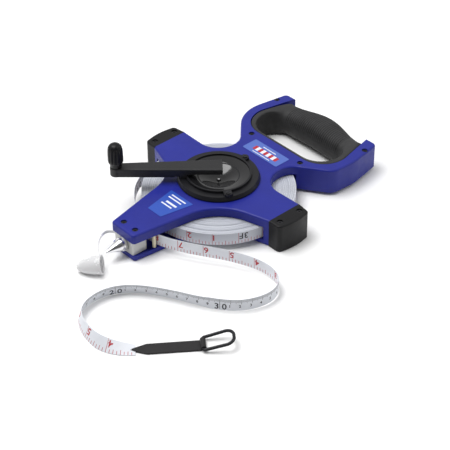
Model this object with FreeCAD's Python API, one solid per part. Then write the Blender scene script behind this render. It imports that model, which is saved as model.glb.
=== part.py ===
"""Open-frame surveyor's tape reel with a D-handle, a winding crank and a stake point.

Millimetres, +Z up.  The origin is on the reel's axis, on the plane the case rests on.
-X points to the nose with the stake point and +X to the hand grip.
"""
import FreeCAD
import Part
import math
import os

V = FreeCAD.Vector
UP = V(0, 0, 1)

# Case
CASE_TOP = 30.3
TOP_SKIRT = 20.5
BASE_RIM = 5.5
SEAM_Z = 15.0
WALL = 2.4
ARM_END = 84.0
POST_INNER = 77.8
ROLL_SPACE_R = 79.5
HUB_BORE_R = 27.08

# Outline corners nose to grip: x, distance from the middle, corner radius; the two sides differ
LEFT_SIDE = [
    (-122.0, 17.0, 3.5),
    (-28.0, 37.0, 50.0),
    (-11.8, ARM_END, 0.0),
    (29.0, ARM_END, 0.0),
    (27.0, -0.8, 22.5),
    (99.0, 74.8, 43.0),
    (155.6, 64.9, 5.0),
]
RIGHT_SIDE = [
    (-122.0, 15.7, 3.5),
    (-28.0, 28.6, 50.0),
    (-11.8, ARM_END, 0.0),
    (29.0, ARM_END, 0.0),
    (27.4, 30.6, 24.0),
    (65.2, 30.6, 20.0),
    (91.2, 69.1, 14.0),
    (118.5, 71.2, 50.0),
    (157.2, 64.8, 5.0),
]
CAP_SIDE = [
    (-11.8, ARM_END, 0.0),
    (-11.8, 98.4, 5.0),
    (8.0, 102.0, 60.0),
    (27.0, 99.0, 4.5),
    (29.0, ARM_END, 0.0),
]

# Underside of the grip, which stands clear of the ground: x, height
UNDERSIDE = [(56.0, -1.0), (62.0, 3.4), (140.0, 3.8), (180.0, 4.6), (180.0, -1.0)]
WINDOW_FRONT_X = 83.5
FINGER_FRONT_X = 87.0

# Screws through the case: x, y
NOSE_SCREWS = [(-113.5, 8.4), (-113.5, -8.4)]
CAP_SCREWS = [(-4.6, 91.8), (21.2, 91.8), (-4.6, -91.8), (21.2, -91.8)]
GRIP_SCREWS = [(77.2, 35.4), (77.2, -35.4), (140.4, 64.0), (140.4, -64.0)]
SCREW_HEAD_R = 2.7
SCREW_SHANK_R = 1.5
HEAD_WELL_R = 3.1
HEAD_WELL = 2.4
BOSS_R = 4.3

# Reel
AXLE_R = 4.0
AXLE_BORE_R = 4.06
TAPE_LOW = 6.7
TAPE_HIGH = 19.7
CORE_R = 30.0
ROLL_R = 76.5
NECK_R = 27.0

# Crank
DISC_LOW = 30.9
DISC_HIGH = 35.4
DISC_R = 41.0
PLATE_TOP = 38.0
PLATE_R = 32.6
BOWL_R = 19.8
SEAT_R = 29.8
LUG_R = 36.5
LUG_ANGLES = (2.5, 122.5, 242.5)
ARM_LOW = 38.4
ARM_OUTER_LOW = 37.4
ARM_TOP = 46.4
ARM_ANGLE = 139.0
KNOB_DISTANCE = 100.3
KNOB_PIN_R = 2.5

# Nose
BLOCK_FRONT = -121.4
BLOCK_BACK = -104.0
STAKE_Z = 13.6
STAKE_TIP_X = -144.4
STAKE_R = 6.8
ROLLER_R = 1.9
ROLLER_PIN_R = 0.9
ROLLER_BORE_R = 0.95
OUTER_ROLLER = (-97.5, -16.0)
INNER_ROLLER = (-91.8, -14.6)

# Loose end of the tape: centre-line corners x, y, z
TAPE_WIDE = 13.0
TAPE_THICK = 0.5
TAPE_ROUTE = [
    (-20.0, 75.0, 13.2),
    (-49.9, 68.6, 13.2),
    (-79.1, 36.4, 13.2),
    (-94.9, 5.6, 13.2),
    (-95.2, -18.4, 13.2),
    (-77.6, -52.8, 12.6),
    (-57.3, -80.5, 11.1),
    (-42.8, -114.3, 9.4),
    (-47.8, -140.6, 8.3),
    (-72.9, -149.1, 7.5),
    (-107.4, -130.6, 6.8),
    (-141.1, -61.3, 6.5),
    (-170.3, -36.3, 6.5),
    (-206.0, -38.5, 6.5),
    (-221.0, -61.4, 6.5),
    (-221.6, -97.1, 6.5),
    (-200.7, -112.7, 0.85),
]
TWIST_STEPS = 10
FLAT_SHARE = 0.65

# Sheath and ring on the tape's end
SHEATH_HEADING = -36.73
SHEATH_LENGTH = 60.0
SHEATH_POINT = 16.0
SHEATH_WIDE = 12.6
SHEATH_THICK = 1.7
EYE_R = 2.6
RING_LONG = 28.4
RING_HINGE_WIDE = 16.8
RING_END_WIDE = 18.6
RING_BAR_R = 1.5
RING_LIFT = 15.0

# Stake cap and its strap
CAP_MOUTH = V(-154.1, -7.5, 9.75)
CAP_TIP = V(-169.4, 11.6, 5.6)
CAP_MOUTH_R = 9.7
CAP_TIP_R = 5.5
STRAP_ROUTE = [
    (-115.4, 12.4, 15.2),
    (-120.2, 22.4, 15.4),
    (-129.5, 22.9, 15.8),
    (-140.8, 14.3, 16.2),
    (-148.4, 4.7, 16.8),
    (-154.1, -3.9, 17.0),
]
STRAP_WIDE = 3.3
STRAP_THICK = 1.4


def unit(vector):
    """Return the vector at length one."""
    return FreeCAD.Vector(vector).normalize()


def corner_cut(before, corner, after, radius):
    """Return the start, middle and end of the arc that rounds a corner."""
    if radius == 0:
        return corner, corner, corner
    to_before = unit(before - corner)
    to_after = unit(after - corner)
    half = to_before.getAngle(to_after) / 2
    reach = radius / math.tan(half)
    centre = corner + unit(to_before + to_after) * (radius / math.sin(half))
    middle = centre + unit(corner - centre) * radius
    return corner + to_before * reach, middle, corner + to_after * reach


def rounded_face(corners, z=0.0):
    """Build a flat face from (x, y, radius) corners."""
    points = [V(x, y, z) for x, y, _ in corners]
    cuts = []
    for i, (_, _, radius) in enumerate(corners):
        cuts.append(corner_cut(points[i - 1], points[i], points[(i + 1) % len(points)], radius))
    edges = []
    for i, (start, middle, end) in enumerate(cuts):
        if start != end:
            edges.append(Part.Arc(start, middle, end).toShape())
        following = cuts[(i + 1) % len(cuts)][0]
        if end.distanceToPoint(following) > 1e-4:
            edges.append(Part.LineSegment(end, following).toShape())
    return Part.Face(Part.Wire(edges))


def closed_outline(left, right):
    """Join the left side's corners to the right side's, which are mirrored across Y = 0."""
    return left + [(x, -y, radius) for x, y, radius in reversed(right)]


def prism(face, low, high):
    """Extrude a face drawn at z = 0 from low to high."""
    solid = face.extrude(V(0, 0, high - low))
    solid.translate(V(0, 0, low))
    return solid


def rod(radius, low, high, x=0.0, y=0.0):
    """Upright cylinder."""
    return Part.makeCylinder(radius, high - low, V(x, y, low), UP)


def tube(outer, inner, low, high, x=0.0, y=0.0):
    """Upright tube."""
    return rod(outer, low, high, x, y).cut(rod(inner, low - 1, high + 1, x, y))


def block(x0, x1, y0, y1, z0, z1):
    """Box between two corners."""
    return Part.makeBox(x1 - x0, y1 - y0, z1 - z0, V(x0, y0, z0))


def revolve_profile(points):
    """Turn an (r, z) polygon about the Z axis."""
    ring = [V(r, 0, z) for r, z in points]
    face = Part.Face(Part.makePolygon(ring + [ring[0]]))
    return face.revolve(V(0, 0, 0), UP, 360)


def soften(solid, radius, z):
    """Fillet the outline edges at height z, leaving the joint between arm and cap square."""
    edges = []
    for edge in solid.Edges:
        box = edge.BoundBox
        level = abs(box.ZMin - z) < 1e-3 and abs(box.ZMax - z) < 1e-3
        joint = abs(abs(edge.CenterOfMass.y) - ARM_END) < 1e-3
        if level and not joint:
            edges.append(edge)
    return solid.makeFillet(radius, edges)


def case_face():
    """Outline of the whole case."""
    return rounded_face(closed_outline(LEFT_SIDE, RIGHT_SIDE))


def window_face(grow=0.0):
    """Opening in the blue case that the rubber grip lines; it is open at the rear."""
    side = [(WINDOW_FRONT_X - grow, 67.4 + grow, 28.0 + grow), (175.0, 47.4 + grow, 2.0)]
    return rounded_face(closed_outline(side, side))


def finger_face():
    """Opening that the fingers pass through."""
    side = [(FINGER_FRONT_X, 59.6, 25.0), (136.0, 49.6, 16.0)]
    return rounded_face(closed_outline(side, side))


def low_space(z0, z1):
    """Room for the roll and the open sides of the frame."""
    open_frame = block(-140, 50, -POST_INNER, POST_INNER, z0, z1)
    return open_frame.fuse(rod(ROLL_SPACE_R, z0, z1))


def underside_rise(lift=0.0):
    """Space under the grip, clear of the floor below the roll."""
    points = [V(x, -90, z + lift) for x, z in UNDERSIDE]
    wedge = Part.Face(Part.makePolygon(points + [points[0]])).extrude(V(0, 180, 0))
    return wedge.cut(rod(ROLL_SPACE_R, -5, 20))


def core_bar(z0, z1):
    """Half of the blue bar that stiffens the grip."""
    return block(134.0, 147.0, -61.0, 61.0, z0, z1)


def case_blank(low, high):
    """Solid half of the case with the window cut through."""
    return prism(case_face(), low, high)


def hollow_blank(low, high):
    """Inside of the case, one wall inside every outer face."""
    inner = case_face().makeOffset2D(-WALL)
    space = prism(inner, low, high).cut(prism(window_face(WALL), low - 1, high + 1))
    ends = block(-20, 40, ARM_END - WALL, 100, low, high).fuse(block(-20, 40, -100, WALL - ARM_END, low, high))
    return space.cut(ends)


def wall_ring(z0, z1):
    """Hollow kept out of the walls that face the roll."""
    keep = block(-140, 50, -POST_INNER - WALL, POST_INNER + WALL, z0, z1)
    return keep.fuse(rod(ROLL_SPACE_R + WALL, z0, z1))


def screw_posts(low, high, places):
    """Solid posts round the case screws."""
    posts = [rod(BOSS_R, low, high, x, y) for x, y in places]
    return posts[0].multiFuse(posts[1:])


def drill(solid, places, radius, low, high):
    """Drill one upright hole at each place."""
    for x, y in places:
        solid = solid.cut(rod(radius, low, high, x, y))
    return solid


def top_shell():
    """Upper moulding of the case."""
    outer = soften(case_blank(SEAM_Z, CASE_TOP), 2.0, CASE_TOP)
    outer = outer.cut(prism(window_face(), SEAM_Z - 1, CASE_TOP + 1))
    outer = outer.cut(low_space(SEAM_Z - 1, TOP_SKIRT))
    outer = outer.fuse(core_bar(SEAM_Z, 24.0))
    upper_room = hollow_blank(TOP_SKIRT, CASE_TOP - WALL)
    lower_room = hollow_blank(SEAM_Z - 1, TOP_SKIRT).cut(wall_ring(SEAM_Z - 1, TOP_SKIRT))
    room = upper_room.fuse(lower_room)
    room = room.cut(rod(HUB_BORE_R + 3.0, SEAM_Z, CASE_TOP))
    room = room.cut(screw_posts(SEAM_Z - 1, CASE_TOP, GRIP_SCREWS))
    room = room.cut(screw_posts(TOP_SKIRT, CASE_TOP, NOSE_SCREWS))
    room = room.cut(rod(3.0, TOP_SKIRT, CASE_TOP, *OUTER_ROLLER))
    room = room.cut(rod(3.0, TOP_SKIRT, CASE_TOP, *INNER_ROLLER))
    shell = outer.cut(room).cut(rod(HUB_BORE_R, SEAM_Z, CASE_TOP + 1))
    shell = drill(shell, [OUTER_ROLLER, INNER_ROLLER], ROLLER_PIN_R, SEAM_Z, TOP_SKIRT + 3.0)
    shell = drill(shell, NOSE_SCREWS + GRIP_SCREWS, SCREW_SHANK_R + 0.2, SEAM_Z - 1, CASE_TOP)
    return drill(shell, NOSE_SCREWS + GRIP_SCREWS, HEAD_WELL_R, CASE_TOP - HEAD_WELL, CASE_TOP + 1)


def bottom_shell():
    """Lower moulding of the case, with the axle's seat."""
    outer = soften(case_blank(0.0, SEAM_Z), 1.5, 0.0)
    outer = outer.cut(prism(window_face(), -1, SEAM_Z + 1))
    outer = outer.cut(low_space(BASE_RIM, SEAM_Z + 1))
    outer = outer.fuse(core_bar(6.0, SEAM_Z))
    lower_room = hollow_blank(WALL, BASE_RIM)
    upper_room = hollow_blank(BASE_RIM, SEAM_Z + 1).cut(wall_ring(BASE_RIM, SEAM_Z + 1))
    room = lower_room.fuse(upper_room)
    room = room.cut(rod(15.0, 0, BASE_RIM))
    room = room.cut(screw_posts(0, SEAM_Z + 1, GRIP_SCREWS))
    room = room.cut(screw_posts(0, BASE_RIM, NOSE_SCREWS))
    room = room.cut(rod(3.0, 0, BASE_RIM, *OUTER_ROLLER))
    room = room.cut(rod(3.0, 0, BASE_RIM, *INNER_ROLLER))
    room = room.cut(underside_rise(WALL))
    shell = outer.cut(room).cut(underside_rise())
    shell = shell.cut(rod(AXLE_R, WALL, BASE_RIM + 1))
    shell = drill(shell, [OUTER_ROLLER, INNER_ROLLER], ROLLER_PIN_R, BASE_RIM - 3.0, BASE_RIM + 1)
    return drill(shell, NOSE_SCREWS + GRIP_SCREWS, SCREW_SHANK_R, 2.5, SEAM_Z + 1)


def arm_cap(side):
    """Black end cap over one arm; side is +1 or -1."""
    corners = [(x, side * y, radius) for x, y, radius in CAP_SIDE]
    if side < 0:
        corners = list(reversed(corners))
    blank = prism(rounded_face(corners), 0.4, CASE_TOP)
    blank = soften(blank, 1.6, CASE_TOP)
    inner = prism(rounded_face(corners).makeOffset2D(-WALL), WALL + 0.4, CASE_TOP - WALL)
    places = [(x, y) for x, y in CAP_SCREWS if y * side > 0]
    inner = inner.cut(screw_posts(0, CASE_TOP, places))
    cap = blank.cut(inner)
    cap = drill(cap, places, SCREW_SHANK_R, 3.0, CASE_TOP)
    return drill(cap, places, HEAD_WELL_R, CASE_TOP - HEAD_WELL, CASE_TOP + 1)


def grip_bar():
    """Swollen hand bar across the rear of the window."""
    rings = []
    for y, x, half_x, z, half_z in (
        (-56.0, 138.0, 12.5, 15.2, 14.6),
        (-40.0, 140.0, 14.0, 15.4, 14.8),
        (-20.0, 142.3, 17.0, 16.4, 15.8),
        (0.0, 143.2, 18.2, 17.0, 16.4),
        (20.0, 142.3, 17.0, 16.4, 15.8),
        (40.0, 140.0, 14.0, 15.4, 14.8),
        (56.0, 138.0, 12.5, 15.2, 14.6),
    ):
        squash = FreeCAD.Matrix()
        squash.scale(half_x, 1.0, half_z)
        oval = Part.makeCircle(1.0, V(0, 0, 0), V(0, -1, 0)).transformGeometry(squash)
        oval.translate(V(x, y, z))
        rings.append(Part.Wire(oval))
    return Part.makeLoft(rings, True, False)


def grip_half(low, high):
    """Rubber moulded on one half of the case: window lining and half of the hand bar."""
    lining = prism(window_face(), 0.5, CASE_TOP - 0.1)
    lining = lining.cut(prism(finger_face(), -1, CASE_TOP + 1))
    lining = lining.cut(block(152.5, 200, -80, 80, -1, 40)).cut(underside_rise(0.3))
    body = lining.cut(block(118.0, 200, -47, 47, -1, 40)).fuse(grip_bar())
    body = body.cut(prism(case_face().cut(window_face()), -1, 40))
    return body.common(block(60, 200, -80, 80, low, high)).cut(core_bar(6.0, 24.0))


def nose_block():
    """Plastic block between the shells that carries the stake point."""
    body = block(BLOCK_FRONT, BLOCK_BACK, -13.4, 13.4, BASE_RIM, TOP_SKIRT)
    body = soften_upright(body, 1.2)
    body = body.cut(Part.makeCylinder(3.0, 12.0, V(BLOCK_FRONT - 1, 0, STAKE_Z), V(1, 0, 0)))
    return drill(body, NOSE_SCREWS, SCREW_SHANK_R + 0.2, 0, 30)


def soften_upright(solid, radius):
    """Fillet the upright edges of a block."""
    edges = [e for e in solid.Edges if e.BoundBox.ZLength > 5 and e.BoundBox.XLength < 1e-3]
    return solid.makeFillet(radius, edges)


def stake_collar():
    """Grey collar between the block and the stake point."""
    ring = Part.makeCylinder(STAKE_R + 0.5, 1.8, V(BLOCK_FRONT - 2.6, 0, STAKE_Z), V(1, 0, 0))
    ring = ring.fuse(Part.makeCylinder(6.0, 2.6, V(BLOCK_FRONT - 2.6, 0, STAKE_Z), V(1, 0, 0)))
    return ring.cut(Part.makeCylinder(3.0, 8, V(BLOCK_FRONT - 5, 0, STAKE_Z), V(1, 0, 0)))


def stake_point():
    """Turned steel point with a grooved base and a spigot into the block."""
    base = BLOCK_FRONT - 2.6
    length = base - STAKE_TIP_X
    outline = [
        (0, 0), (0.4, 0.2), (STAKE_R - 0.6, length - 3.0), (STAKE_R - 1.2, length - 2.6),
        (STAKE_R - 1.2, length - 1.9), (STAKE_R, length - 1.6), (STAKE_R, length),
        (2.99, length), (2.99, length + 12.5), (0, length + 12.5),
    ]
    solid = revolve_profile(outline)
    solid.rotate(V(0, 0, 0), V(0, 1, 0), 90)
    solid.translate(V(STAKE_TIP_X, 0, STAKE_Z))
    return solid


def roller(place):
    """Guide roller between the shells."""
    return tube(ROLLER_R, ROLLER_BORE_R, BASE_RIM + 0.2, TOP_SKIRT - 0.2, *place)


def roller_pins():
    """Steel pins of both rollers, pressed into the shells."""
    pins = [rod(ROLLER_PIN_R, BASE_RIM - 2.9, TOP_SKIRT + 2.9, *place) for place in (OUTER_ROLLER, INNER_ROLLER)]
    return Part.makeCompound(pins)


def axle():
    """Steel axle standing in the lower shell's boss, with a turned-down tip."""
    return rod(AXLE_R, WALL, 25.4).fuse(rod(1.2, 25.4, 29.2))


def thrust_washer():
    """Washer the spool turns on."""
    return tube(12.0, AXLE_BORE_R + 0.1, BASE_RIM, BASE_RIM + 0.7)


def spool():
    """Core the tape is wound on, with the neck that carries the crank."""
    core = tube(CORE_R, CORE_R - 2.6, TAPE_LOW - 0.2, TAPE_HIGH + 0.1)
    web = tube(CORE_R, AXLE_BORE_R, TAPE_LOW - 0.2, TAPE_LOW + 2.4)
    sleeve = tube(8.0, AXLE_BORE_R, TAPE_LOW - 0.2, 25.6)
    deck = tube(CORE_R, 7.0, TAPE_HIGH - 2.5, TAPE_HIGH + 0.1)
    neck = tube(NECK_R, NECK_R - 3.0, TAPE_HIGH - 2.5, DISC_LOW)
    return core.multiFuse([web, sleeve, deck, neck])


def tape_roll():
    """Wound tape."""
    return tube(ROLL_R, CORE_R, TAPE_LOW, TAPE_HIGH)


def hub_disc():
    """Round disc over the case that covers the spool's neck."""
    disc = revolve_profile([
        (23.5, DISC_LOW), (DISC_R, DISC_LOW), (DISC_R, DISC_LOW + 0.8), (DISC_R - 1.6, DISC_HIGH),
        (SEAT_R + 0.2, DISC_HIGH), (SEAT_R + 0.2, 32.6), (23.5, 32.6),
    ])
    return drill(disc, lug_places(), SCREW_SHANK_R, DISC_LOW + 0.6, DISC_HIGH + 1)


def lug(angle):
    """One screw lug of the dished plate."""
    body = block(24.0, LUG_R + 2.2, -4.0, 4.0, DISC_HIGH, PLATE_TOP)
    body = body.fuse(rod(4.0, DISC_HIGH, PLATE_TOP, LUG_R, 0).common(block(0, 41.2, -9, 9, 0, 60)))
    body.rotate(V(0, 0, 0), UP, angle)
    return body


def lug_places():
    """Plan positions of the dished plate's screws."""
    return [(LUG_R * math.cos(math.radians(a)), LUG_R * math.sin(math.radians(a))) for a in LUG_ANGLES]


def dish_plate():
    """Round plate with a sunken middle, screwed to the hub disc by three lugs."""
    plate = revolve_profile([
        (BOWL_R, 34.0), (30.8, 36.3), (30.8, PLATE_TOP), (PLATE_R, PLATE_TOP),
        (PLATE_R, DISC_HIGH), (SEAT_R, DISC_HIGH), (SEAT_R, 34.6), (23.0, 33.0), (BOWL_R, 33.0),
    ])
    lugs = [lug(angle) for angle in LUG_ANGLES]
    plate = plate.multiFuse([item.cut(rod(30.8, 0, 60)) for item in lugs])
    return drill(plate, lug_places(), SCREW_SHANK_R, 30, 40)


def dish_bowl():
    """Polished bowl seated under the round plate's inner edge."""
    return revolve_profile([
        (2.2, 27.8), (6.0, 28.0), (12.0, 29.4), (17.0, 31.6), (BOWL_R - 0.1, 33.9), (BOWL_R - 0.1, 33.0),
        (22.9, 33.0), (22.9, 31.9), (19.4, 31.6), (17.0, 29.6), (12.6, 27.2), (6.0, 25.9), (2.2, 25.8),
    ])


def dish_screws():
    """Three screws that hold the dished plate to the hub disc."""
    screws = []
    for x, y in lug_places():
        head = rod(SCREW_HEAD_R - 0.3, PLATE_TOP, PLATE_TOP + 0.9, x, y)
        head = head.cut(block(x - 2, x + 2, y - 0.3, y + 0.3, PLATE_TOP + 0.4, PLATE_TOP + 2))
        screws.append(head.fuse(rod(SCREW_SHANK_R, DISC_LOW + 0.6, PLATE_TOP, x, y)))
    return Part.makeCompound(screws)


def crank_arm():
    """Tapered crank arm lying over the hub, from past its centre out to the knob."""
    reach = KNOB_DISTANCE
    plan = rounded_face([(-4.0, -9.2, 0.8), (reach, -5.8, 0.5), (reach, 5.8, 0.5), (-4.0, 9.2, 0.8)])
    beam = prism(plan, ARM_OUTER_LOW, ARM_TOP).fuse(rod(6.1, ARM_OUTER_LOW, ARM_TOP, reach, 0))
    beam = soften(beam.removeSplitter(), 0.8, ARM_TOP)
    relief = block(-10, 30.8, -12, 12, ARM_OUTER_LOW - 1, ARM_LOW + 2.4)
    relief = relief.fuse(block(-10, 43.0, -12, 12, ARM_OUTER_LOW - 1, ARM_LOW))
    foot = block(30.9, 38.0, -5.4, 8.0, DISC_HIGH, ARM_LOW + 1).cut(rod(PLATE_R + 0.1, 30, 60))
    foot = foot.common(rod(39.0, 30, 60))
    arm = beam.cut(relief).fuse(foot)
    arm = arm.cut(rod(KNOB_PIN_R, ARM_OUTER_LOW - 1, ARM_TOP + 1, reach, 0))
    arm.rotate(V(0, 0, 0), UP, ARM_ANGLE)
    return arm


def at_knob(solid):
    """Carry a piece drawn on the Z axis to the knob's axis."""
    angle = math.radians(ARM_ANGLE)
    solid.translate(V(KNOB_DISTANCE * math.cos(angle), KNOB_DISTANCE * math.sin(angle), 0))
    return solid


def knob():
    """Fluted crank knob with a domed top."""
    body = revolve_profile([
        (0, 46.8), (5.8, 46.8), (6.0, 51.0), (7.6, 52.4), (7.4, 66.6), (6.5, 69.8), (4.4, 72.1), (2.2, 73.0), (0, 73.2),
    ])
    for i in range(14):
        groove = Part.makeCylinder(0.75, 15.0, V(7.9, 0, 52.0), UP)
        groove.rotate(V(0, 0, 0), UP, i * 360 / 14)
        body = body.cut(groove)
    return at_knob(body.cut(rod(KNOB_PIN_R + 0.06, 46, 66.0)))


def knob_pin():
    """Headed pin riveted in the arm that the knob turns on."""
    pin = rod(KNOB_PIN_R, ARM_OUTER_LOW, 65.5).fuse(rod(4.0, ARM_OUTER_LOW - 1.2, ARM_OUTER_LOW))
    return at_knob(pin)


def case_screws():
    """Screws down through the case and the arm caps."""
    screws = []
    for x, y in NOSE_SCREWS + CAP_SCREWS + GRIP_SCREWS:
        seat = CASE_TOP - HEAD_WELL
        head = rod(SCREW_HEAD_R, seat, seat + 1.4, x, y)
        head = head.cut(block(x - 1.6, x + 1.6, y - 0.35, y + 0.35, seat + 0.6, seat + 2))
        head = head.cut(block(x - 0.35, x + 0.35, y - 1.6, y + 1.6, seat + 0.6, seat + 2))
        screws.append(head.fuse(rod(SCREW_SHANK_R - 0.01, 3.2, seat, x, y)))
    return Part.makeCompound(screws)


def label(corners):
    """Thin printed label on the case."""
    return prism(rounded_face(corners), CASE_TOP, CASE_TOP + 0.25)


def route_wire(corners, report=None):
    """Straight runs joined by arcs, through the route's corners."""
    points = [V(*corner) for corner in corners]
    runs = [(b - a).Length for a, b in zip(points, points[1:])]
    edges = []
    at = points[0]
    for i in range(1, len(points) - 1):
        turn = (points[i] - points[i - 1]).getAngle(points[i + 1] - points[i])
        radius = 0.45 * min(runs[i - 1], runs[i]) / math.tan(turn / 2)
        start, middle, end = corner_cut(points[i - 1], points[i], points[i + 1], radius)
        edges.append(Part.LineSegment(at, start).toShape())
        edges.append(Part.Arc(start, middle, end).toShape())
        at = end
        if report:
            print(report, "bend", i, "turn", round(math.degrees(turn), 1), "radius", round(radius, 1))
    last = Part.LineSegment(at, points[-1]).toShape()
    return edges, last


def strip_section(place, heading, tilt, wide, thick):
    """Rectangle across a strip; tilt 0 stands on edge and 90 lies flat."""
    forward = unit(heading)
    level = unit(UP.cross(forward))
    upright = unit(forward.cross(level))
    across = upright * math.cos(tilt) + level * math.sin(tilt)
    normal = unit(forward.cross(across))
    corners = [
        place + across * (sa * wide / 2) + normal * (sn * thick / 2)
        for sa, sn in ((-1, -1), (1, -1), (1, 1), (-1, 1))
    ]
    return Part.makePolygon(corners + [corners[0]])


def swept_strip(edges, wide, thick):
    """Sweep an upright strip along joined edges."""
    spine = Part.Wire(edges)
    first = edges[0]
    heading = first.tangentAt(first.FirstParameter)
    section = strip_section(first.valueAt(first.FirstParameter), heading, 0.0, wide, thick)
    pipe = Part.BRepOffsetAPI.MakePipeShell(spine)
    pipe.setBiNormalMode(UP)
    pipe.add(section)
    pipe.build()
    pipe.makeSolid()
    return pipe.shape()


def tape_free():
    """Loose end of the tape: on edge from the roll round the guides, then twisting flat."""
    on_edge = TAPE_ROUTE[:-1] + [TAPE_ROUTE[-1][:2] + (TAPE_WIDE / 2,)]
    edges, last = route_wire(on_edge, "tape")
    standing = swept_strip(edges, TAPE_WIDE, TAPE_THICK)
    start = last.valueAt(last.FirstParameter)
    end = last.valueAt(last.LastParameter)
    seat = min(standing.Faces, key=lambda face: face.CenterOfMass.distanceToPoint(start))
    rings = [seat.OuterWire]
    for i in range(1, TWIST_STEPS + 1):
        share = i / TWIST_STEPS
        place = start + (end - start) * share
        turned = min(1.0, share / FLAT_SHARE)
        tilt = math.radians(90) * (3 * turned ** 2 - 2 * turned ** 3)
        place.z = TAPE_WIDE / 2 * math.cos(tilt) + TAPE_ROUTE[-1][2] * share
        rings.append(strip_section(place, V(end.x - start.x, end.y - start.y, 0), tilt, TAPE_WIDE, TAPE_THICK))
    twisted = Part.makeLoft(rings, True, True)
    length = sum(edge.Length for edge in edges) + last.Length
    print("tape route length", round(length, 1), "volume", round(standing.Volume + twisted.Volume, 1),
          "section x length", round(length * TAPE_WIDE * TAPE_THICK, 1))
    return standing.fuse(twisted)


def sheath_frame(solid):
    """Carry a piece drawn along +X from the origin to the sheath's start."""
    solid.rotate(V(0, 0, 0), UP, SHEATH_HEADING)
    solid.translate(V(TAPE_ROUTE[-1][0], TAPE_ROUTE[-1][1], 0))
    return solid


def end_sheath():
    """Flat black sleeve on the tape's end, pointed at its start, with an eye for the ring."""
    half = SHEATH_WIDE / 2
    plan = rounded_face([
        (-6.0, 0.0, 0.8), (SHEATH_POINT - 6.0, -half, 6.0), (SHEATH_LENGTH - 1.6, -half, 0.3),
        (SHEATH_LENGTH - 1.6, half, 0.3), (SHEATH_POINT - 6.0, half, 6.0),
    ])
    eye = Part.makeCylinder(EYE_R, SHEATH_WIDE, V(SHEATH_LENGTH, -SHEATH_WIDE / 2, EYE_R), V(0, 1, 0))
    hole = Part.makeCylinder(RING_BAR_R + 0.06, 60, V(SHEATH_LENGTH, -30, EYE_R), V(0, 1, 0))
    return sheath_frame(prism(plan, 0.0, SHEATH_THICK).fuse(eye).cut(hole))


def end_ring():
    """Ring hinged in the sheath's eye, its far side standing clear of the ground."""
    near = RING_HINGE_WIDE / 2
    far = RING_END_WIDE / 2
    corners = [(0, -near, 1.7), (RING_LONG, -far, 7.5), (RING_LONG, far, 7.5), (0, near, 1.7)]
    spine = rounded_face(corners).OuterWire
    first = spine.OrderedEdges[0]
    start = first.valueAt(first.FirstParameter)
    section = Part.Wire(Part.makeCircle(RING_BAR_R, start, first.tangentAt(first.FirstParameter)))
    loop = spine.makePipeShell([section], True, False)
    loop.rotate(V(0, 0, 0), V(0, 1, 0), -RING_LIFT)
    loop.translate(V(SHEATH_LENGTH, 0, EYE_R))
    return sheath_frame(loop)


def cap_blank():
    """Outside of the stake cap, lying on its side."""
    axis = CAP_MOUTH - CAP_TIP
    cone = Part.makeCone(CAP_TIP_R, CAP_MOUTH_R, axis.Length, CAP_TIP, axis)
    rim = min(cone.Edges, key=lambda e: e.CenterOfMass.distanceToPoint(CAP_TIP))
    return cone.makeFillet(1.6, [rim])


def spike_cap():
    """Soft clear cap for the stake point."""
    axis = CAP_MOUTH - CAP_TIP
    start = CAP_TIP + unit(axis) * 1.6
    inner = Part.makeCone(CAP_TIP_R - 1.3, CAP_MOUTH_R - 1.3, axis.Length - 1.59, start, axis)
    return cap_blank().cut(inner)


def cap_strap():
    """Flat strap from the nose block to the cap."""
    edges, last = route_wire(STRAP_ROUTE, "strap")
    strap = swept_strip(edges + [last], STRAP_WIDE, STRAP_THICK)
    length = sum(edge.Length for edge in edges + [last])
    print("strap length", round(length, 1), "volume", round(strap.Volume, 1))
    return strap


def main():
    """Build every piece and write it to its own file."""
    tape = tape_free()
    nose = nose_block()
    strap = cap_strap().cut(nose).cut(cap_blank())
    pieces = {
        "top_shell": top_shell(),
        "bottom_shell": bottom_shell(),
        "arm_cap_left": arm_cap(1),
        "arm_cap_right": arm_cap(-1),
        "grip_upper": grip_half(SEAM_Z, 60),
        "grip_lower": grip_half(-5, SEAM_Z),
        "nose_block": nose,
        "stake_collar": stake_collar(),
        "stake_point": stake_point(),
        "outer_roller": roller(OUTER_ROLLER),
        "inner_roller": roller(INNER_ROLLER),
        "roller_pins": roller_pins(),
        "axle": axle(),
        "thrust_washer": thrust_washer(),
        "spool": spool(),
        "tape_roll": tape_roll(),
        "hub_disc": hub_disc(),
        "dish_plate": dish_plate(),
        "dish_bowl": dish_bowl(),
        "dish_screws": dish_screws(),
        "crank_arm": crank_arm(),
        "knob": knob(),
        "knob_pin": knob_pin(),
        "case_screws": case_screws(),
        "nose_label": label([(-47.5, 16.0, 1.0), (-47.5, -16.0, 1.0), (-83.0, -9.4, 1.0), (-83.0, 9.4, 1.0)]),
        "grip_label": label([(54.3, 24.4, 1.5), (54.3, -24.4, 1.5), (73.2, -24.4, 1.5), (73.2, 24.4, 1.5)]),
        "tape_free": tape,
        "end_sheath": end_sheath().cut(tape),
        "end_ring": end_ring(),
        "spike_cap": spike_cap(),
        "cap_strap": strap,
    }
    os.makedirs("parts", exist_ok=True)
    for name, shape in pieces.items():
        if not shape.isValid():
            print("invalid", name)
        box = shape.optimalBoundingBox()
        print(name, len(shape.Solids), round(shape.Volume, 1), [round(v, 2) for v in (
            box.XMin, box.XMax, box.YMin, box.YMax, box.ZMin, box.ZMax)])
        shape.exportStep("parts/" + name + ".step")


main()
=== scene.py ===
"""Looks of the open-frame surveyor's tape reel, in metres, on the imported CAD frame."""
import bpy
import math
import random
import numpy as np
from mathutils import Matrix, Vector


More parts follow.
